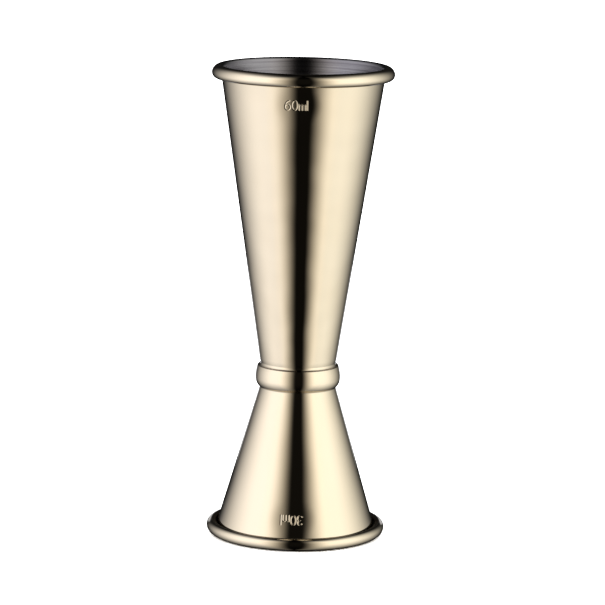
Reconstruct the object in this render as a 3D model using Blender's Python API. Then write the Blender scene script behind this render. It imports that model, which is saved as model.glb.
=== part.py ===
"""Double-ended bar jigger: two drawn cups joined base to base inside a waist collar.

Every piece is turned about +Z. The origin is the centre of the plane that the
small cup's rim rests on, and the large cup opens upwards.
"""
import math

import bmesh
import bpy
from mathutils import Vector

# ---- Driving dimensions, in millimetres -------------------------------------
HEIGHT = 125.2                # small rim's rest plane to the large rim's crest
SHEET = 0.8                   # wall of both drawn cups
SEAM_Z = 42.8                 # middle of the solder between the two cup bases

LARGE_RIM_RADIUS = 24.0       # outside of the rolled rim
LARGE_HALF_ANGLE = math.radians(8.54)
LARGE_WAIST_RADIUS = 10.05    # outside of the wall at LARGE_WAIST_Z
LARGE_WAIST_Z = 46.2

SMALL_RIM_RADIUS = 23.65
SMALL_HALF_ANGLE = math.radians(16.26)
SMALL_WAIST_RADIUS = 10.1     # outside of the wall at SMALL_WAIST_Z
SMALL_WAIST_Z = 39.7

BASE_CORNER_RADIUS = 2.0      # outside corner between a cup's base and its wall

ROLL_CROWN_RADIUS = 2.05      # rolled rim, from its crest to its widest point
ROLL_TUCK_RADIUS = 1.45       # rolled rim, from its widest point back to the wall
ROLL_TUCK_ANGLE = math.radians(124)
REST_LAND_DEPTH = 0.03        # flat lapped on each crest, so that the rim sits still

COLLAR_RADIUS = 11.28         # widest point of the barrel
COLLAR_EQUATOR_Z = 42.25
COLLAR_UPPER_ARC = 10.6       # barrel above its widest point
COLLAR_LOWER_ARC = 3.3        # barrel below its widest point
COLLAR_CORNER_Z = 45.55       # where the barrel ends and the top chamfer begins
COLLAR_BORE_RADIUS = 10.45

SOLDER_GAP = 0.1              # clearance drawn between the solder and what it wets
SOLDER_DISC_THICKNESS = 0.4
SOLDER_RING_DEPTH = 1.5       # how far the solder runs into each end of the collar

SEGMENTS = 64                 # facets round every piece, all in the same phase
ARC_STEP = math.radians(19)   # longest step along a rounded stretch of an outline

MM = 0.001

# ---- Colours: linear base colour, metallic, roughness -----------------------
POLISHED_GOLD = ((0.83, 0.70, 0.47), 1.0, 0.12)
SILVER_SOLDER = ((0.62, 0.58, 0.50), 1.0, 0.35)


def clear_scene():
    """Remove whatever the file held before."""
    for thing in list(bpy.data.objects):
        bpy.data.objects.remove(thing, do_unlink=True)


def arc(centre, radius, start, end, longest_step=ARC_STEP):
    """Points (radius, height) along an arc, both ends included."""
    steps = max(1, math.ceil(abs(end - start) / longest_step))
    points = []
    for i in range(steps + 1):
        angle = start + (end - start) * i / steps
        points.append((centre[0] + radius * math.cos(angle), centre[1] + radius * math.sin(angle)))
    return points


def material(name, look):
    """A plain Principled material for one node."""
    colour, metallic, roughness = look
    made = bpy.data.materials.new(name)
    made.use_nodes = True
    shader = made.node_tree.nodes["Principled BSDF"]
    shader.inputs["Base Color"].default_value = (*colour, 1.0)
    shader.inputs["Metallic"].default_value = metallic
    shader.inputs["Roughness"].default_value = roughness
    made.diffuse_color = (*colour, 1.0)
    made.metallic = metallic
    made.roughness = roughness
    return made


def turned(name, outline, look):
    """Spin a closed outline of (radius, height) points about +Z into one solid node."""
    mesh_data = bmesh.new()
    verts = [mesh_data.verts.new(Vector((r, 0.0, z)) * MM) for r, z in outline]
    starts_on_axis = outline[0][0] == 0.0
    last = len(verts) - 1 if starts_on_axis else len(verts)
    edges = [mesh_data.edges.new((verts[i], verts[(i + 1) % len(verts)])) for i in range(last)]
    bmesh.ops.spin(mesh_data, geom=verts + edges, cent=(0, 0, 0), axis=(0, 0, 1), dvec=(0, 0, 0),
                   angle=math.tau, steps=SEGMENTS, use_merge=True, use_duplicate=False)
    bmesh.ops.remove_doubles(mesh_data, verts=mesh_data.verts, dist=1e-7)
    bmesh.ops.recalc_face_normals(mesh_data, faces=mesh_data.faces)

    mesh = bpy.data.meshes.new(name)
    mesh_data.to_mesh(mesh)
    mesh_data.free()
    mesh.shade_smooth()
    mesh.set_sharp_from_angle(angle=math.radians(35))
    mesh.materials.append(material(name + "_finish", look))
    node = bpy.data.objects.new(name, mesh)
    bpy.context.scene.collection.objects.link(node)
    return node


def along_axis(outline, origin_z, direction):
    """Move an outline from a cup's own height to the jigger's, up or down from origin_z."""
    return [(r, origin_z + direction * height) for r, height in outline]


class CupShape:
    """One drawn cup in its own frame: height 0 is the outside of its base, the rim is up."""

    def __init__(self, depth, rim_radius, half_angle, wall_radius, wall_height):
        self.depth = depth
        self.rim_radius = rim_radius
        self.angle = half_angle
        self.slope = math.tan(half_angle)
        self.wall_radius = wall_radius
        self.wall_height = wall_height

    def outside(self, height):
        """Outside radius of the straight wall, carried on past its ends."""
        return self.wall_radius + self.slope * (height - self.wall_height)

    def inside(self, height):
        """Inside radius of the straight wall."""
        return self.outside(height) - SHEET / math.cos(self.angle)

    def corner_centre(self):
        """Centre that the base corner's inside and outside arcs share."""
        reach = BASE_CORNER_RADIUS / math.cos(self.angle)
        return (self.outside(BASE_CORNER_RADIUS) - reach, BASE_CORNER_RADIUS)

    def corner(self, radius):
        """Base corner from the flat base round to the wall."""
        return arc(self.corner_centre(), radius, -math.pi / 2, -self.angle)

    def roll(self, offset):
        """Rolled rim from the wall over the crest to the tucked end, offset into the sheet."""
        crest_radius = self.rim_radius - ROLL_CROWN_RADIUS
        crest = self.depth + REST_LAND_DEPTH
        lip = (crest_radius - self.inside(crest)) * math.cos(self.angle) / (1 - math.sin(self.angle))
        land_start = land_end = 0.0
        if offset == 0.0:
            land_start = math.acos(1 - REST_LAND_DEPTH / lip)
            land_end = math.acos(1 - REST_LAND_DEPTH / ROLL_CROWN_RADIUS)
        up = math.pi / 2
        points = arc((crest_radius, crest - lip), lip - offset, math.pi - self.angle, up + land_start)
        crown = arc((crest_radius, crest - ROLL_CROWN_RADIUS), ROLL_CROWN_RADIUS - offset, up - land_end, 0)
        points += crown if land_end else crown[1:]
        tuck_centre = (self.rim_radius - ROLL_TUCK_RADIUS, crest - ROLL_CROWN_RADIUS)
        points += arc(tuck_centre, ROLL_TUCK_RADIUS - offset, 0, -ROLL_TUCK_ANGLE)[1:]
        return points

    def outline(self):
        """Closed section of the sheet: under the base, up the outside, round the roll, back down."""
        outer_skin = [(0.0, 0.0)] + self.corner(BASE_CORNER_RADIUS) + self.roll(SHEET)
        inner_skin = [(0.0, SHEET)] + self.corner(BASE_CORNER_RADIUS - SHEET) + self.roll(0.0)
        return outer_skin + inner_skin[::-1]


def barrel_radius(z):
    """Outside radius of the collar at height z."""
    bend = COLLAR_UPPER_ARC if z > COLLAR_EQUATOR_Z else COLLAR_LOWER_ARC
    return COLLAR_RADIUS - bend + math.sqrt(bend ** 2 - (z - COLLAR_EQUATOR_Z) ** 2)


def collar_bottom_z():
    """Height where the barrel's lower arc has come in to the bore."""
    inward = COLLAR_LOWER_ARC - (COLLAR_RADIUS - COLLAR_BORE_RADIUS)
    return COLLAR_EQUATOR_Z - math.sqrt(COLLAR_LOWER_ARC ** 2 - inward ** 2)


def collar_top_z():
    """Height where the 45 degree top chamfer meets the bore."""
    return COLLAR_CORNER_Z + barrel_radius(COLLAR_CORNER_Z) - COLLAR_BORE_RADIUS


def collar_outline():
    """Turned ring: straight bore, barrel outside, chamfered top edge."""
    lower = math.asin((COLLAR_EQUATOR_Z - collar_bottom_z()) / COLLAR_LOWER_ARC)
    upper = math.asin((COLLAR_CORNER_Z - COLLAR_EQUATOR_Z) / COLLAR_UPPER_ARC)
    lower_centre = (COLLAR_RADIUS - COLLAR_LOWER_ARC, COLLAR_EQUATOR_Z)
    upper_centre = (COLLAR_RADIUS - COLLAR_UPPER_ARC, COLLAR_EQUATOR_Z)
    lower_half = arc(lower_centre, COLLAR_LOWER_ARC, -lower, 0)
    upper_half = arc(upper_centre, COLLAR_UPPER_ARC, 0, upper, ARC_STEP / 2)
    return lower_half + upper_half[1:] + [(COLLAR_BORE_RADIUS, collar_top_z())]


def centre_solder_outline(large, small):
    """Solder disc between the bases, thickening into the corner that they leave in the bore."""
    half = SOLDER_DISC_THICKNESS / 2
    rim = COLLAR_BORE_RADIUS - SOLDER_GAP
    sweep = -math.radians(35)
    bend = BASE_CORNER_RADIUS + SOLDER_GAP
    above = along_axis(arc(large.corner_centre(), bend, -math.pi / 2, sweep), SEAM_Z + half + SOLDER_GAP, 1)
    below = along_axis(arc(small.corner_centre(), bend, -math.pi / 2, sweep), SEAM_Z - half - SOLDER_GAP, -1)
    lower_side = [(0.0, SEAM_Z - half)] + below + [(rim, below[-1][1])]
    upper_side = [(0.0, SEAM_Z + half)] + above + [(rim, above[-1][1])]
    return lower_side + upper_side[::-1]


def solder_ring_outline(cup, base_z, direction, mouth_z):
    """Wedge of solder between a cup's wall and the collar's bore, flush with the collar's end."""
    deep_z = mouth_z - direction * SOLDER_RING_DEPTH
    clear = SOLDER_GAP / math.cos(cup.angle)
    outer = COLLAR_BORE_RADIUS - SOLDER_GAP
    inner = [(cup.outside(direction * (z - base_z)) + clear, z) for z in (mouth_z, deep_z)]
    return inner + [(outer, deep_z), (outer, mouth_z)]


def build():
    """Make the jigger's pieces."""
    half_seam = SOLDER_DISC_THICKNESS / 2 + SOLDER_GAP
    large_base = SEAM_Z + half_seam
    small_base = SEAM_Z - half_seam
    large = CupShape(HEIGHT - large_base, LARGE_RIM_RADIUS, LARGE_HALF_ANGLE,
                     LARGE_WAIST_RADIUS, LARGE_WAIST_Z - large_base)
    small = CupShape(small_base, SMALL_RIM_RADIUS, SMALL_HALF_ANGLE,
                     SMALL_WAIST_RADIUS, small_base - SMALL_WAIST_Z)

    turned("large_cup", along_axis(large.outline(), large_base, 1), POLISHED_GOLD)
    turned("small_cup", along_axis(small.outline(), small_base, -1), POLISHED_GOLD)
    turned("waist_collar", collar_outline(), POLISHED_GOLD)
    turned("centre_solder", centre_solder_outline(large, small), SILVER_SOLDER)
    turned("upper_solder_ring", solder_ring_outline(large, large_base, 1, collar_top_z()), SILVER_SOLDER)
    turned("lower_solder_ring", solder_ring_outline(small, small_base, -1, collar_bottom_z()), SILVER_SOLDER)


clear_scene()
build()
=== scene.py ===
"""Looks of the double-ended bar jigger: fine turned shells, polished champagne gold, soft studio."""

import math

import bpy
import numpy as np
from mathutils import Matrix, Vector


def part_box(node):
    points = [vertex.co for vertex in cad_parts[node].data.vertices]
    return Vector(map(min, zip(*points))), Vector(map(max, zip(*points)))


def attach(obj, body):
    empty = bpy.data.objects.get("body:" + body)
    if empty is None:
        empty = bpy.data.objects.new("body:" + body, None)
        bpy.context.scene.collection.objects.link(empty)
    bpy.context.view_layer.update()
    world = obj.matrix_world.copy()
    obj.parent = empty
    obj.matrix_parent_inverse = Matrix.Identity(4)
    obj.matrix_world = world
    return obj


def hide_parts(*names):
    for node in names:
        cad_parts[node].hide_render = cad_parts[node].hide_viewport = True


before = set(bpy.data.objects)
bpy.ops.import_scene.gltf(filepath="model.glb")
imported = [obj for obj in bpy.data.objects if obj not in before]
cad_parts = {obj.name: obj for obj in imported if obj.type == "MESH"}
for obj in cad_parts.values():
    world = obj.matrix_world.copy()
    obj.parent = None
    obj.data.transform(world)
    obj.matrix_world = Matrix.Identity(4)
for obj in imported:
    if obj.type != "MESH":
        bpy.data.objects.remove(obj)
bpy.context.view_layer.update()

MM = 0.001

# ---- Shape that the CAD solids hold, in millimetres -------------------------
SHEET = 0.8
LARGE_HALF_ANGLE = math.radians(8.54)
LARGE_WALL = (10.05, 46.2)          # outside radius of the wall, and the height it is at
SMALL_HALF_ANGLE = math.radians(16.26)
SMALL_WALL = (10.1, 39.7)
BASE_CORNER_RADIUS = 2.0
ROLL_CROWN_RADIUS = 2.05
ROLL_TUCK_RADIUS = 1.45
ROLL_TUCK_ANGLE = math.radians(126)
SHADE_REACH = math.radians(80)     # how far round the curl's underside the painted shade reaches before the gold begins
REST_LAND_DEPTH = 0.03
COLLAR_EQUATOR_Z = 42.25
COLLAR_UPPER_ARC = 10.6
COLLAR_LOWER_ARC = 3.3
COLLAR_CORNER_Z = 45.55
COLLAR_EDGE_RADIUS = 0.08           # broken edge at the top of the barrel
UPPER_FILLET_LEAN = math.radians(85)    # how far the solder's face tips up at the collar's corner
LOWER_FILLET_LEAN = math.radians(75)
NECK_TOP_Z = 47.65                  # the wall is worn in a little just above the collar
NECK_BOTTOM_Z = 46.45
NECK_TURN = math.radians(7.5)       # how much more the wall leans at the bottom of the neck
TOUCH = 0.01                        # hairline between a piece and its neighbour

# ---- Mesh fineness ----------------------------------------------------------
COLUMNS = 256                       # round the axis, where nothing is stamped
WALL_ROW = 1.4                      # spacing of rows up a straight wall
ARC_STEP = math.radians(6)          # spacing of rows round an arc
MARK_CELL = 0.08                    # spacing of rows and columns under a stamped mark

# ---- Stamped capacity marks -------------------------------------------------
MARK_HEIGHT = 2.45                  # of the figures
MARK_STROKE = 0.24                  # half width of a stamped groove
MARK_DEPTH = 0.06
MARK_MARGIN = 0.5
DENT_DEPTH = 0.09                   # the wall gives a little round a mark
DENT_REACH = 5.0

# The second slot is satin steel, made darker than real steel as painted shade for the dim inside of the cup.
# The third slot is near-black painted shade, for the inside of the curl and the crease under it.
GOLD, STEEL_SHADED_INSIDE, PAINTED_CREASE_SHADE = 0, 1, 2        # material slots of a cup


def frame_size(node):
    """Radius, lowest and highest point of a turned CAD node, in millimetres."""
    low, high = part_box(node)
    return high.x / MM, low.z / MM, high.z / MM


LARGE_RIM_RADIUS, LARGE_BASE_Z, HEIGHT = frame_size("large_cup")
SMALL_RIM_RADIUS, _, SMALL_BASE_Z = frame_size("small_cup")
COLLAR_RADIUS, COLLAR_BOTTOM_Z = frame_size("waist_collar")[:2]
SEAM_Z = (LARGE_BASE_Z + SMALL_BASE_Z) / 2


# ---- Turned sections --------------------------------------------------------
class Section:
    """Closed section of a turned piece, as runs of rows (radius, height, normal, finish)."""

    def __init__(self):
        self.runs = []

    def line(self, start, end, finish=GOLD, spacing=WALL_ROW, heights=None):
        """Straight run; its normal is on the right of its direction."""
        along = np.array(end, float) - np.array(start, float)
        length = float(np.hypot(*along))
        share = np.linspace(0, 1, max(1, math.ceil(length / spacing)) + 1)
        if heights is not None:
            share = np.unique(np.concatenate([share, (np.array(heights) - start[1]) / along[1]]))
        points = np.array(start) + share[:, None] * along
        normal = np.array([along[1], -along[0]]) / length
        self.runs.append((points, np.repeat(normal[None], len(points), 0), finish))

    def arc(self, centre, radius, start, end, finish=GOLD, step=ARC_STEP):
        """Arc run; anticlockwise bulges out of the metal, clockwise hollows it."""
        angles = np.linspace(start, end, max(2, math.ceil(abs(end - start) / step)) + 1)
        spokes = np.stack([np.cos(angles), np.sin(angles)], 1)
        outward = spokes if end > start else -spokes
        self.runs.append((np.array(centre) + radius * spokes, outward, finish))

    def moved(self, origin_z, direction):
        """The section carried to the jigger's own heights, turned over if direction is -1."""
        turned_over = Section()
        for points, normals, finish in self.runs:
            place = points * (1, direction) + (0, origin_z)
            turned_over.runs.append((place, normals * (1, direction), finish))
        return turned_over


def even_columns():
    """Angles round the axis for a plain piece."""
    return np.linspace(0, math.tau, COLUMNS, endpoint=False)


def columns_with_mark(centre, half_width):
    """Angles round the axis, closer together where a mark is stamped."""
    step = math.tau / COLUMNS
    fine = np.arange(centre - half_width, centre + half_width, MARK_CELL / 20)
    rest = np.arange(centre + half_width + step / 2, centre - half_width + math.tau - step / 2, step)
    return np.concatenate([fine, rest])


def turned_piece(name, section, finishes, node, columns=None, mark=None):
    """Turn a section about +Z into a smooth piece that rides on the frame."""
    angles = even_columns() if columns is None else columns
    count = len(angles)
    round_way = np.stack([np.sin(angles), -np.cos(angles)], 1)
    first_points = section.runs[0][0][0]
    last_points = section.runs[-1][0][-1]
    open_at_axis = first_points[0] < 1e-9 and last_points[0] < 1e-9

    verts, rings, faces, loop_normals, slots = [], [], [], [], []

    def add_ring(point):
        start = len(verts)
        if point[0] < 1e-9:
            verts.append((0.0, 0.0, point[1] * MM))
            rings.append([start] * count)
            return
        for spoke in round_way:
            verts.append((point[0] * spoke[0] * MM, point[0] * spoke[1] * MM, point[1] * MM))
        rings.append(list(range(start, start + count)))

    add_ring(first_points)
    for number, (points, normals, finish) in enumerate(section.runs):
        closing = number == len(section.runs) - 1 and not open_at_axis
        for i in range(len(points) - 1):
            below = len(rings) - 1
            if closing and i == len(points) - 2:
                above = 0
            else:
                add_ring(points[i + 1])
                above = len(rings) - 1
            faces.append((below, above, normals[i], normals[i + 1], finish, points[i], points[i + 1]))

    positions = np.array(verts)
    ring_normals = {}
    if mark is not None:
        positions, ring_normals = mark.stamp(positions, rings, faces, angles)

    polygons = []
    for below, above, normal_low, normal_high, finish, low, high in faces:
        along = high - low
        ccw = along[1] * normal_low[0] - along[0] * normal_low[1] + \
            along[1] * normal_high[0] - along[0] * normal_high[1] > 0
        low_normals = ring_normals.get((below, finish), turned_normals(normal_low, round_way))
        high_normals = ring_normals.get((above, finish), turned_normals(normal_high, round_way))
        for j in range(count):
            k = (j + 1) % count
            corners = [(rings[below][j], low_normals[j]), (rings[below][k], low_normals[k]),
                       (rings[above][k], high_normals[k]), (rings[above][j], high_normals[j])]
            if rings[below][j] == rings[below][k]:
                corners.pop(0)
            elif rings[above][j] == rings[above][k]:
                corners.pop(3)
            if not ccw:
                corners.reverse()
            polygons.append([c[0] for c in corners])
            loop_normals.extend(c[1] for c in corners)
            slots.append(finish)

    mesh = bpy.data.meshes.new(name)
    mesh.from_pydata(positions.tolist(), [], polygons)
    for finish in finishes:
        mesh.materials.append(finish)
    mesh.polygons.foreach_set("material_index", slots)
    mesh.polygons.foreach_set("use_smooth", [True] * len(polygons))
    mesh.validate()
    mesh.normals_split_custom_set([tuple(n) for n in loop_normals])
    piece = bpy.data.objects.new(name, mesh)
    bpy.context.scene.collection.objects.link(piece)
    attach(piece, "root")
    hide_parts(node)
    return piece


def turned_normals(normal, round_way):
    """One row's normals, for every column."""
    return np.column_stack([normal[0] * round_way, np.full(len(round_way), normal[1])])


# ---- Stamped marks ----------------------------------------------------------
def bow(x, y, across, up, start, end):
    """Points along part of an ellipse, angles in degrees."""
    angles = np.radians(np.linspace(start, end, 2 + abs(end - start) // 15))
    return [(x + across * math.cos(a), y + up * math.sin(a)) for a in angles]


def figures():
    """Plain strokes of each character, on a body 1 high, with its width."""
    arch = 0.17
    return {
        "0": (0.56, [bow(0.28, 0.5, 0.28, 0.5, 0, 360)]),
        "3": (0.52, [bow(0.25, 0.75, 0.24, 0.25, 150, -90), bow(0.25, 0.26, 0.27, 0.26, 90, -150)]),
        "6": (0.56, [bow(0.28, 0.3, 0.28, 0.3, 0, 360), bow(0.56, 0.3, 0.56, 0.7, 180, 98)]),
        "m": (0.68, [[(0, 0), (0, 0.62)], bow(arch, 0.45, arch, 0.17, 180, 0) + [(2 * arch, 0)],
                     bow(3 * arch, 0.45, arch, 0.17, 180, 0) + [(4 * arch, 0)]]),
        "l": (0.0, [[(0, 0), (0, 1)]]),
    }


def swell(share):
    """A smooth hump: 1 where the share is 0, and 0 from 1 on."""
    return 0.5 + 0.5 * np.cos(math.pi * np.clip(share, 0, 1))


class Mark:
    """A capacity mark stamped into a cup's wall."""
    SPACING = 0.2

    def __init__(self, text, angle, radius, height, half_angle, upright):
        self.angle, self.radius, self.height = angle, radius, height
        self.half_angle, self.upright = half_angle, upright
        strokes, pen = [], 0.0
        shapes = figures()
        for character in text:
            width, lines = shapes[character]
            strokes += [[(pen + x, y) for x, y in line] for line in lines]
            pen += width + self.SPACING
        self.half_width = (pen - self.SPACING) / 2 * MARK_HEIGHT
        self.segments = []
        for line in strokes:
            for a, b in zip(line, line[1:]):
                self.segments.append(self.placed(a) + self.placed(b))
        self.segments = np.array(self.segments)

    def placed(self, point):
        """A stroke's point in millimetres from the mark's centre."""
        return [point[0] * MARK_HEIGHT - self.half_width, (point[1] - 0.5) * MARK_HEIGHT]

    def reach(self):
        """Half the angle that the mark takes up round the wall."""
        return (self.half_width + MARK_MARGIN) / self.radius

    def heights(self):
        """Heights of the close rows under the mark."""
        half = MARK_HEIGHT / 2 + MARK_MARGIN
        return np.arange(self.height - half, self.height + half, MARK_CELL)

    def depth(self, across, up):
        """How deep the stamp goes at points measured from the mark's centre."""
        nearest = np.full(across.shape, 1e9)
        for ax, ay, bx, by in self.segments:
            length = max((bx - ax) ** 2 + (by - ay) ** 2, 1e-9)
            share = np.clip(((across - ax) * (bx - ax) + (up - ay) * (by - ay)) / length, 0, 1)
            gap = np.hypot(across - ax - share * (bx - ax), up - ay - share * (by - ay))
            nearest = np.minimum(nearest, gap)
        groove = MARK_DEPTH * swell(nearest / MARK_STROKE)
        round_mark = np.hypot(np.maximum(np.abs(across) - self.half_width + 1, 0), up)
        return groove + DENT_DEPTH * swell(round_mark / DENT_REACH)

    def stamp(self, positions, rings, faces, angles):
        """Push the wall in along the strokes, and give the normals that the stamped rows get."""
        normals = {}
        positions = positions.copy()
        turn = (angles - self.angle + math.pi) % math.tau - math.pi
        spokes = np.stack([np.sin(angles), -np.cos(angles), np.zeros(len(angles))], 1)
        sideways = np.stack([np.cos(angles), np.sin(angles), np.zeros(len(angles))], 1)
        for below, above, normal_low, normal_high, finish, low, high in faces:
            for ring, normal, point in ((below, normal_low, low), (above, normal_high, high)):
                on_wall = abs(normal[1] - (-self.upright * math.sin(self.half_angle))) < 1e-6
                if (ring, finish) in normals or not on_wall or normal[0] < 0:
                    continue
                rise = (point[1] - self.height) / math.cos(self.half_angle)
                if abs(rise) > DENT_REACH:
                    continue
                across = turn * point[0] * self.upright
                up = np.full(across.shape, rise * self.upright)
                sunk = self.depth(across, up)
                nudge = 0.01
                slope_across = (self.depth(across + nudge, up) - self.depth(across - nudge, up)) / (2 * nudge)
                slope_up = (self.depth(across, up + nudge) - self.depth(across, up - nudge)) / (2 * nudge)
                out = spokes * normal[0] + np.array([0, 0, normal[1]])
                up_wall = spokes * -normal[1] + np.array([0, 0, normal[0]])
                tilted = out + self.upright * (slope_across[:, None] * sideways + slope_up[:, None] * up_wall)
                normals[(ring, finish)] = tilted / np.linalg.norm(tilted, axis=1)[:, None]
                positions[rings[ring]] -= out * sunk[:, None] * MM
        return positions, normals


# ---- The pieces' sections ---------------------------------------------------
class Cup:
    """A drawn cup in its own frame: height 0 is the outside of its base, the rim is up."""

    def __init__(self, base_z, rim_z, rim_radius, half_angle, wall):
        self.direction = 1 if rim_z > base_z else -1
        self.base_z = base_z
        self.depth = abs(rim_z - base_z)
        self.rim_radius = rim_radius
        self.angle = half_angle
        self.wall_radius = wall[0]
        self.wall_height = abs(wall[1] - base_z)
        self.neck = None

    def outside(self, height):
        """Outside radius of the straight wall."""
        return self.wall_radius + math.tan(self.angle) * (height - self.wall_height)

    def outside_at(self, z):
        """Outside radius of the wall at a height of the jigger."""
        return self.outside(self.direction * (z - self.base_z))

    def inside(self, height):
        """Inside radius of the straight wall."""
        return self.outside(height) - SHEET / math.cos(self.angle)

    def corner_centre(self):
        """Centre that the base corner's inside and outside arcs share."""
        radius = self.outside(BASE_CORNER_RADIUS) - BASE_CORNER_RADIUS / math.cos(self.angle)
        return radius, BASE_CORNER_RADIUS

    def section(self, mark=None):
        """Sheet from the middle of the base out, up the wall, round the rolled rim and back inside."""
        made = Section()
        centre = self.corner_centre()
        crest_radius = self.rim_radius - ROLL_CROWN_RADIUS
        crest = self.depth + REST_LAND_DEPTH
        lip = (crest_radius - self.inside(crest)) * math.cos(self.angle) / (1 - math.sin(self.angle))
        lip_centre = (crest_radius, crest - lip)
        crown_centre = (crest_radius, crest - ROLL_CROWN_RADIUS)
        tuck_centre = (self.rim_radius - ROLL_TUCK_RADIUS, crest - ROLL_CROWN_RADIUS)
        up, wall_way = math.pi / 2, math.pi - self.angle
        land_in = math.acos(1 - REST_LAND_DEPTH / lip)
        land_out = math.acos(1 - REST_LAND_DEPTH / ROLL_CROWN_RADIUS)

        def spot(middle, radius, angle):
            return (middle[0] + radius * math.cos(angle), middle[1] + radius * math.sin(angle))

        stamped = None if mark is None else self.direction * (mark.heights() - self.base_z)
        made.line((0, 0), spot(centre, BASE_CORNER_RADIUS, -up), spacing=4)
        made.arc(centre, BASE_CORNER_RADIUS, -up, -self.angle)
        top = spot(lip_centre, lip - SHEET, wall_way)
        hidden = (self.outside(tuck_centre[1]), tuck_centre[1])
        wall_foot = spot(centre, BASE_CORNER_RADIUS, -self.angle)
        if self.neck is not None:
            made.line(wall_foot, self.neck.bottom)
            made.arc(self.neck.centre, self.neck.radius, -self.neck.angle, -self.angle)
            wall_foot = self.neck.top
        made.line(wall_foot, hidden, heights=stamped)
        # Inside the curl and round the crease under it, the sheet takes a near-black finish: painted shade
        # for the fold between the roll and the wall.
        made.line(hidden, top, finish=PAINTED_CREASE_SHADE)
        made.arc(lip_centre, lip - SHEET, wall_way, up, finish=PAINTED_CREASE_SHADE, step=math.radians(30))
        made.arc(crown_centre, ROLL_CROWN_RADIUS - SHEET, up, 0, finish=PAINTED_CREASE_SHADE)
        made.arc(tuck_centre, ROLL_TUCK_RADIUS - SHEET, 0, -ROLL_TUCK_ANGLE, finish=PAINTED_CREASE_SHADE)
        made.line(spot(tuck_centre, ROLL_TUCK_RADIUS - SHEET, -ROLL_TUCK_ANGLE),
                  spot(tuck_centre, ROLL_TUCK_RADIUS, -ROLL_TUCK_ANGLE), finish=PAINTED_CREASE_SHADE)
        made.arc(tuck_centre, ROLL_TUCK_RADIUS, -ROLL_TUCK_ANGLE, -SHADE_REACH, finish=PAINTED_CREASE_SHADE)
        made.arc(tuck_centre, ROLL_TUCK_RADIUS, -SHADE_REACH, 0)
        made.arc(crown_centre, ROLL_CROWN_RADIUS, 0, up - land_out)
        made.line(spot(crown_centre, ROLL_CROWN_RADIUS, up - land_out), spot(lip_centre, lip, up + land_in))
        # Inside the cup: satin steel, darker than real steel as painted shade for the dim inside.
        made.arc(lip_centre, lip, up + land_in, wall_way, finish=STEEL_SHADED_INSIDE)
        made.line(spot(lip_centre, lip, wall_way), spot(centre, BASE_CORNER_RADIUS - SHEET, -self.angle),
                  finish=STEEL_SHADED_INSIDE)
        made.arc(centre, BASE_CORNER_RADIUS - SHEET, -self.angle, -up, finish=STEEL_SHADED_INSIDE)
        made.line(spot(centre, BASE_CORNER_RADIUS - SHEET, -up), (0, SHEET), finish=STEEL_SHADED_INSIDE, spacing=4)
        return made.moved(self.base_z, self.direction)


class Neck:
    """Short stretch of a cup's wall, near its base, that leans a little more than the rest."""

    def __init__(self, cup, top_z, bottom_z, turn):
        self.direction = cup.direction
        self.base_z = cup.base_z
        self.angle = cup.angle + turn
        self.radius = abs(top_z - bottom_z) / (math.sin(self.angle) - math.sin(cup.angle))
        top_height = cup.direction * (top_z - cup.base_z)
        self.top = (cup.outside(top_height), top_height)
        self.centre = (self.top[0] - self.radius * math.cos(cup.angle),
                       self.top[1] + self.radius * math.sin(cup.angle))
        self.bottom = (self.centre[0] + self.radius * math.cos(self.angle),
                       self.centre[1] - self.radius * math.sin(self.angle))

    def outside_at(self, z):
        """Radius of the neck's lower end, carried on in a straight line to a height of the jigger."""
        return self.bottom[0] + math.tan(self.angle) * (self.direction * (z - self.base_z) - self.bottom[1])


LARGE = Cup(LARGE_BASE_Z, HEIGHT, LARGE_RIM_RADIUS, LARGE_HALF_ANGLE, LARGE_WALL)
LARGE.neck = Neck(LARGE, NECK_TOP_Z, NECK_BOTTOM_Z, NECK_TURN)
SMALL = Cup(SMALL_BASE_Z, 0.0, SMALL_RIM_RADIUS, SMALL_HALF_ANGLE, SMALL_WALL)


def barrel_radius(z):
    """Outside radius of the collar at height z."""
    bend = COLLAR_UPPER_ARC if z > COLLAR_EQUATOR_Z else COLLAR_LOWER_ARC
    return COLLAR_RADIUS - bend + math.sqrt(bend ** 2 - (z - COLLAR_EQUATOR_Z) ** 2)


BORE_RADIUS = barrel_radius(COLLAR_BOTTOM_Z)


def collar_section():
    """Turned ring: straight bore, barrel outside, broken top edge and 45 degree chamfer."""
    made = Section()
    lower = math.asin((COLLAR_EQUATOR_Z - COLLAR_BOTTOM_Z) / COLLAR_LOWER_ARC)
    upper_centre = (COLLAR_RADIUS - COLLAR_UPPER_ARC, COLLAR_EQUATOR_Z)
    edge = COLLAR_EDGE_RADIUS
    upper = math.asin((COLLAR_CORNER_Z - COLLAR_EQUATOR_Z) / COLLAR_UPPER_ARC) - edge / COLLAR_UPPER_ARC
    inner = COLLAR_UPPER_ARC - edge
    edge_centre = (upper_centre[0] + inner * math.cos(upper), upper_centre[1] + inner * math.sin(upper))
    chamfer = math.radians(45)
    chamfer_start = (edge_centre[0] + edge * math.cos(chamfer), edge_centre[1] + edge * math.sin(chamfer))
    top = (BORE_RADIUS, chamfer_start[1] + chamfer_start[0] - BORE_RADIUS)
    made.arc((COLLAR_RADIUS - COLLAR_LOWER_ARC, COLLAR_EQUATOR_Z), COLLAR_LOWER_ARC, -lower, 0)
    made.arc(upper_centre, COLLAR_UPPER_ARC, 0, upper, step=math.radians(1.5))
    made.arc(edge_centre, edge, upper, chamfer, step=math.radians(10))
    made.line(chamfer_start, top)
    made.line(top, (BORE_RADIUS, COLLAR_BOTTOM_Z))
    return made, chamfer_start


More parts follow.
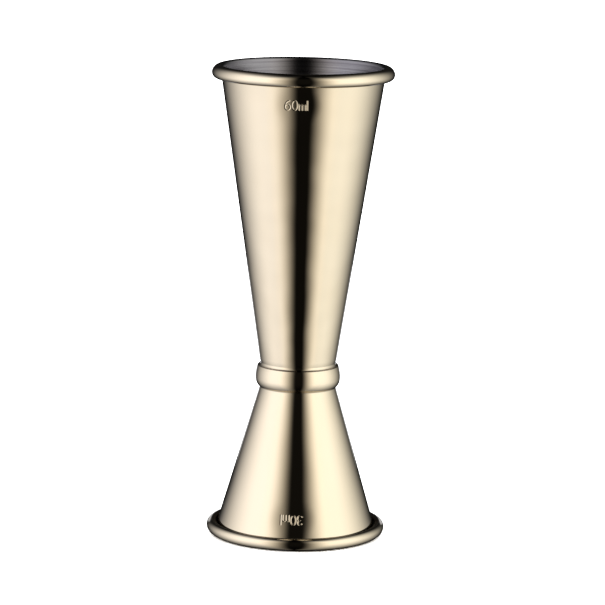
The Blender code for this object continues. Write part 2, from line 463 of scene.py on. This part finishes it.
# ---- Materials --------------------------------------------------------------
class Nodes:
    """Short ways to add and join nodes in one tree."""

    def __init__(self, tree):
        self.tree = tree

    def add(self, kind, **values):
        node = self.tree.nodes.new(kind)
        for key, value in values.items():
            setattr(node, key, value)
        return node

    def join(self, output, socket):
        self.tree.links.new(output, socket)

    def maths(self, operation, first, second=None, third=None):
        """A Math node; each input is a number or another node's output."""
        node = self.add("ShaderNodeMath", operation=operation)
        for i, value in enumerate((first, second, third)):
            if value is None:
                continue
            if isinstance(value, (int, float)):
                node.inputs[i].default_value = value
            else:
                self.join(value, node.inputs[i])
        return node.outputs[0]

    def ramp(self, stops, factor, interpolation="LINEAR"):
        """A colour ramp from (position, colour) stops."""
        node = self.add("ShaderNodeValToRGB")
        node.color_ramp.interpolation = interpolation
        points = node.color_ramp.elements
        while len(points) < len(stops):
            points.new(0.5)
        for point, (position, colour) in zip(points, stops):
            point.position = position
            point.color = (*colour, 1.0) if hasattr(colour, "__len__") else (colour,) * 3 + (1.0,)
        self.join(factor, node.inputs[0])
        return node.outputs[0]

    def around(self, turn_scale, height_scale):
        """Coordinates that run round the axis slowly and up it fast, for turned lines."""
        place = self.add("ShaderNodeTexCoord").outputs["Object"]
        parts = self.add("ShaderNodeSeparateXYZ")
        self.join(place, parts.inputs[0])
        x, y, z = parts.outputs
        squares = self.maths("ADD", self.maths("MULTIPLY", x, x), self.maths("MULTIPLY", y, y))
        radius = self.maths("MAXIMUM", self.maths("SQRT", squares), 1e-5)
        out = self.add("ShaderNodeCombineXYZ")
        self.join(self.maths("MULTIPLY", self.maths("DIVIDE", x, radius), turn_scale), out.inputs[0])
        self.join(self.maths("MULTIPLY", self.maths("DIVIDE", y, radius), turn_scale), out.inputs[1])
        self.join(self.maths("MULTIPLY", self.maths("ADD", z, radius), height_scale), out.inputs[2])
        return out.outputs[0]

    def noise(self, vector, scale, detail=2.0, roughness=0.5):
        """A noise texture's value."""
        node = self.add("ShaderNodeTexNoise")
        node.inputs["Scale"].default_value = scale
        node.inputs["Detail"].default_value = detail
        node.inputs["Roughness"].default_value = roughness
        self.join(vector, node.inputs["Vector"])
        return node.outputs[0]

    def bump(self, height, distance, normal=None):
        """A bump node's normal."""
        node = self.add("ShaderNodeBump")
        node.inputs["Strength"].default_value = 1.0
        node.inputs["Distance"].default_value = distance
        self.join(height, node.inputs["Height"])
        if normal is not None:
            self.join(normal, node.inputs["Normal"])
        return node.outputs[0]


def metal(name, pale, deep, rough_low, rough_high, line_scale, line_depth, wave_depth, brushed=0.0):
    """Metal with turned or polished lines, slow waviness, and drifting tone and gloss."""
    made = bpy.data.materials.new(name)
    made.use_nodes = True
    nodes = Nodes(made.node_tree)
    shader = made.node_tree.nodes["Principled BSDF"]
    shader.inputs["Metallic"].default_value = 1.0
    if brushed:
        shader.inputs["Anisotropic"].default_value = brushed
        shader.inputs["Anisotropic Rotation"].default_value = 0.25
        nodes.join(nodes.add("ShaderNodeTangent", direction_type="RADIAL", axis="Z").outputs[0],
                   shader.inputs["Tangent"])
    lines = nodes.noise(nodes.around(0.6, line_scale), 1.0, 3.0)
    drift = nodes.noise(nodes.around(1.5, 60.0), 1.0)
    wave = nodes.noise(nodes.around(1.2, 90.0), 1.0, 1.0)
    tone = lines if brushed else drift
    nodes.join(nodes.ramp([(0.3, deep), (0.7, pale)], tone), shader.inputs["Base Color"])
    gloss = nodes.maths("ADD", nodes.maths("MULTIPLY", lines, 0.7), nodes.maths("MULTIPLY", drift, 0.3))
    roughness = nodes.maths("MULTIPLY_ADD", gloss, rough_high - rough_low, rough_low)
    nodes.join(roughness, shader.inputs["Roughness"])
    normal = nodes.bump(wave, wave_depth)
    nodes.join(nodes.bump(lines, line_depth, normal), shader.inputs["Normal"])
    return made


def materials():
    """The jigger's finishes."""
    gold = metal("champagne_gold", (0.935, 0.82, 0.64), (0.92, 0.80, 0.615), 0.03, 0.07, 9000.0, 2e-8, 1.4e-4)
    # The inside steel is darker than real stainless. Its darkness is painted shade for the dim inside of the
    # cups, and its brushed lines are the steel's own.
    inside_steel_paint = metal("satin_steel_painted_shade", (0.34, 0.33, 0.35), (0.19, 0.18, 0.20), 0.15, 0.24, 2200.0, 1e-5, 4e-6, 0.3)
    # Near-black metal for the inside of the curl and the crease under it: painted shade, not the metal's own
    # colour.
    curl_shade_material = metal("painted_shade_curl", (0.10, 0.085, 0.06), (0.05, 0.042, 0.03), 0.5, 0.7, 3000.0, 4e-7, 4e-6)
    solder = metal("silver_solder", (0.80, 0.74, 0.60), (0.72, 0.65, 0.52), 0.12, 0.25, 2500.0, 2e-7, 1e-5)
    return gold, inside_steel_paint, curl_shade_material, solder


# ---- The object -------------------------------------------------------------
LARGE_MARK_ANGLE = math.radians(-4.8)
LARGE_MARK_BELOW_RIM = 8.2
SMALL_MARK_ANGLE = math.radians(-2.7)
SMALL_MARK_ABOVE_REST = 7.7


def build_cups(finishes):
    """Both drawn cups, each with its capacity mark."""
    height = HEIGHT - LARGE_MARK_BELOW_RIM
    mark = Mark("60ml", LARGE_MARK_ANGLE, LARGE.outside_at(height), height, LARGE_HALF_ANGLE, 1)
    turned_piece("large_cup_shell", LARGE.section(mark), finishes, "large_cup",
                 columns_with_mark(mark.angle, mark.reach()), mark)
    height = SMALL_MARK_ABOVE_REST
    mark = Mark("30ml", SMALL_MARK_ANGLE, SMALL.outside_at(height), height, SMALL_HALF_ANGLE, -1)
    turned_piece("small_cup_shell", SMALL.section(mark), finishes, "small_cup",
                 columns_with_mark(mark.angle, mark.reach()), mark)


def fillet_section(wall, corner, lean, ring_z):
    """Solder between a cup's wall and the collar, with a hollow face from the collar's corner.

    The face leaves the corner at the given lean and ends along the wall; the rest fills the
    space between the wall and the bore as far as ring_z.
    """
    up = wall.direction
    out = np.array([math.cos(wall.angle), -math.sin(wall.angle)])
    start = np.array([corner[0], up * (corner[1] - SEAM_Z)])
    gap = (start[0] - wall.outside_at(corner[1])) * out[0]
    radius = gap / (1 - math.cos(lean + wall.angle))
    centre = start + radius * np.array([math.cos(lean), math.sin(lean)])
    foot = centre - radius * out
    bore = BORE_RADIUS - TOUCH
    low = up * (ring_z - SEAM_Z)
    made = Section()
    made.line((bore, low), (bore, start[1] + (start[0] - bore)))
    made.line((bore, start[1] + (start[0] - bore)), start)
    made.arc(centre, radius, math.pi + lean, math.pi - wall.angle, step=math.radians(4))
    made.line(foot, (wall.outside_at(ring_z) + TOUCH, low))
    made.line((wall.outside_at(ring_z) + TOUCH, low), (bore, low))
    return made.moved(SEAM_Z, up)


def build_waist(gold, solder):
    """Collar and the solder that holds it."""
    collar, corner = collar_section()
    turned_piece("waist_collar_ring", collar, (gold,), "waist_collar")
    upper_ring_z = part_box("upper_solder_ring")[0].z / MM
    lower_ring_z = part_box("lower_solder_ring")[1].z / MM
    upper = fillet_section(LARGE.neck, corner, UPPER_FILLET_LEAN, upper_ring_z)
    turned_piece("upper_solder_fillet", upper, (gold,), "upper_solder_ring")
    lower = fillet_section(SMALL, (BORE_RADIUS, COLLAR_BOTTOM_Z), LOWER_FILLET_LEAN, lower_ring_z)
    turned_piece("lower_solder_fillet", lower, (gold,), "lower_solder_ring")


def build_object():
    """Every visible piece."""
    gold, inside_steel_paint, curl_shade_material, solder = materials()
    build_cups((gold, inside_steel_paint, curl_shade_material))
    build_waist(gold, solder)
    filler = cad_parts["centre_solder"]
    filler.data.materials.clear()
    filler.data.materials.append(solder)


# ---- Studio -----------------------------------------------------------------
CAMERA_DISTANCE = 917.7
CAMERA_ELEVATION = math.radians(9.92)
CAMERA_ROLL = math.radians(1.094)
CAMERA_AIM = (0.865, 0.0, 62.27)
CAMERA_LENS = 206.35
CARD_DISTANCE = 150                 # low white cards behind the jigger, left and right
CARD_INNER = 18
CARD_OUTER = 90
CARD_HEIGHT = 44
CARD_LIGHT = 0.52
CARD_COLOUR = (0.93, 0.98, 1.1, 1)  # a little cool
FLOOR_HALF_WIDTH = 3.0              # in metres
DOME = 3.0                          # light on the floor, a little over white so only contact shades it


def build_camera():
    """Long lens, a little above the rim, with the slight lean of the picture."""
    data = bpy.data.cameras.new("camera")
    data.lens = CAMERA_LENS
    data.sensor_width = 36.0
    data.clip_start, data.clip_end = 0.01, 100.0
    camera = bpy.data.objects.new("camera", data)
    bpy.context.scene.collection.objects.link(camera)
    sine, cosine = math.sin(CAMERA_ELEVATION), math.cos(CAMERA_ELEVATION)
    forward = Vector((0, cosine, -sine))
    level = Vector((1, 0, 0))
    upward = level.cross(forward)
    right = math.cos(CAMERA_ROLL) * level + math.sin(CAMERA_ROLL) * upward
    top = -math.sin(CAMERA_ROLL) * level + math.cos(CAMERA_ROLL) * upward
    place = Vector(CAMERA_AIM) * MM - forward * CAMERA_DISTANCE * MM
    turn = Matrix((right, top, -forward)).transposed().to_4x4()
    camera.matrix_world = Matrix.Translation(place) @ turn
    bpy.context.scene.camera = camera


def build_cards():
    """Two low white cards behind the jigger, faded at their edges; only the metal sees them."""
    white = bpy.data.materials.new("white_card")
    white.use_nodes = True
    shader = white.node_tree.nodes["Principled BSDF"]
    shader.inputs["Base Color"].default_value = (0, 0, 0, 1)
    shader.inputs["Emission Color"].default_value = CARD_COLOUR
    shader.inputs["Emission Strength"].default_value = CARD_LIGHT
    nodes = Nodes(white.node_tree)
    place = nodes.add("ShaderNodeSeparateXYZ")
    nodes.join(nodes.add("ShaderNodeTexCoord").outputs["Generated"], place.inputs[0])
    across = nodes.ramp([(0, 0.0), (0.35, 1.0), (0.65, 1.0), (1, 0.0)], place.outputs[0], "EASE")
    up = nodes.ramp([(0, 1.0), (0.65, 1.0), (1, 0.0)], place.outputs[2], "EASE")
    faded = nodes.add("ShaderNodeMixShader")
    nodes.join(nodes.maths("MULTIPLY", across, up), faded.inputs[0])
    nodes.join(nodes.add("ShaderNodeBsdfTransparent").outputs[0], faded.inputs[1])
    nodes.join(shader.outputs[0], faded.inputs[2])
    nodes.join(faded.outputs[0], white.node_tree.nodes["Material Output"].inputs[0])
    for side, inner, outer in (("left", -CARD_INNER, -CARD_OUTER), ("right", CARD_INNER, CARD_OUTER)):
        corners = [(inner, 0), (outer, 0), (outer, CARD_HEIGHT), (inner, CARD_HEIGHT)]
        mesh = bpy.data.meshes.new(f"{side}_card")
        mesh.from_pydata([(x * MM, CARD_DISTANCE * MM, z * MM) for x, z in corners], [], [(0, 1, 2, 3)])
        mesh.materials.append(white)
        card = bpy.data.objects.new(f"{side}_card", mesh)
        bpy.context.scene.collection.objects.link(card)
        card.visible_camera = card.visible_diffuse = card.visible_shadow = False


def build_floor():
    """Wide pale floor."""
    size = FLOOR_HALF_WIDTH
    mesh = bpy.data.meshes.new("floor")
    corners = [(-size, -size, 0), (size, -size, 0), (size, size, 0), (-size, size, 0)]
    mesh.from_pydata(corners, [], [(0, 1, 2, 3)])
    floor = bpy.data.objects.new("floor", mesh)
    bpy.context.scene.collection.objects.link(floor)
    pale = bpy.data.materials.new("pale_floor")
    pale.use_nodes = True
    shader = pale.node_tree.nodes["Principled BSDF"]
    shader.inputs["Base Color"].default_value = (1.0, 1.0, 1.0, 1.0)
    shader.inputs["Roughness"].default_value = 1.0
    shader.inputs["Specular IOR Level"].default_value = 0.0
    mesh.materials.append(pale)
    floor.visible_glossy = False


# What the metal sees round it: two tall soft boxes, left and right of a dark gap that the camera
# stands in. Azimuth 0 is the camera's side, and + is to the camera's right. The levels suit the
# main view, and the other views show what they happen to give.
BOXES = [(-165, 0.01), (-70, 1.2), (-50, 1.2), (-7, 0.005), (10, 0.005), (50, 1.2), (70, 1.2), (165, 0.01)]
# How the boxes fade with elevation, towards the table and the ceiling.
FADE = [(-85, 0.1), (0, 1.0), (30, 1.0), (80, 0.02)]
# Their colour: a little cooler on the left, warmer on the right and warmest beside the gap.
TINT = [(-60, (1.0, 1.0, 1.03)), (-15, (1.08, 1.0, 0.86)), (15, (1.08, 1.0, 0.86)), (60, (1.0, 1.0, 0.95))]
BRIGHTEST = 2.0                     # what a ramp's full white stands for


def build_studio():
    """White for the eye and the floor; soft boxes left and right for the metal."""
    world = bpy.data.worlds.new("studio")
    bpy.context.scene.world = world
    world.use_nodes = True
    tree = world.node_tree
    tree.nodes.clear()
    nodes = Nodes(tree)
    way = nodes.add("ShaderNodeSeparateXYZ")
    nodes.join(nodes.add("ShaderNodeTexCoord").outputs["Generated"], way.inputs[0])
    x, y, z = way.outputs
    azimuth = nodes.maths("ARCTAN2", x, nodes.maths("MULTIPLY", y, -1.0))
    azimuth = nodes.maths("MULTIPLY_ADD", azimuth, 1 / math.tau, 0.5)
    upward = nodes.maths("MULTIPLY_ADD", nodes.maths("ARCSINE", z), 1 / math.pi, 0.5)
    light = nodes.ramp([(a / 360 + 0.5, level / BRIGHTEST) for a, level in BOXES], azimuth, "EASE")
    fade = nodes.ramp([(e / 180 + 0.5, share) for e, share in FADE], upward, "EASE")
    tint = nodes.ramp([(a / 360 + 0.5, [c / BRIGHTEST for c in colour]) for a, colour in TINT], azimuth)
    for factor in (fade, tint):
        mixed = nodes.add("ShaderNodeMix", data_type="RGBA", blend_type="MULTIPLY")
        mixed.inputs[0].default_value = 1.0
        nodes.join(light, mixed.inputs[6])
        nodes.join(factor, mixed.inputs[7])
        light = mixed.outputs[2]
    studio = nodes.add("ShaderNodeBackground")
    studio.inputs["Strength"].default_value = BRIGHTEST ** 2
    nodes.join(light, studio.inputs["Color"])
    paper = nodes.add("ShaderNodeBackground")
    dome = nodes.add("ShaderNodeBackground")
    for white in (paper, dome):
        white.inputs["Color"].default_value = (1.0, 1.0, 1.0, 1.0)
    dome.inputs["Strength"].default_value = DOME
    path = nodes.add("ShaderNodeLightPath")
    metal_or_floor = nodes.add("ShaderNodeMixShader")
    nodes.join(path.outputs["Is Diffuse Ray"], metal_or_floor.inputs[0])
    nodes.join(studio.outputs[0], metal_or_floor.inputs[1])
    nodes.join(dome.outputs[0], metal_or_floor.inputs[2])
    seen = nodes.add("ShaderNodeMixShader")
    nodes.join(path.outputs["Is Camera Ray"], seen.inputs[0])
    nodes.join(metal_or_floor.outputs[0], seen.inputs[1])
    nodes.join(paper.outputs[0], seen.inputs[2])
    nodes.join(seen.outputs[0], nodes.add("ShaderNodeOutputWorld").inputs[0])
    bpy.context.scene.view_settings.view_transform = "Standard"


build_camera()
build_studio()
build_floor()
build_cards()
build_object()
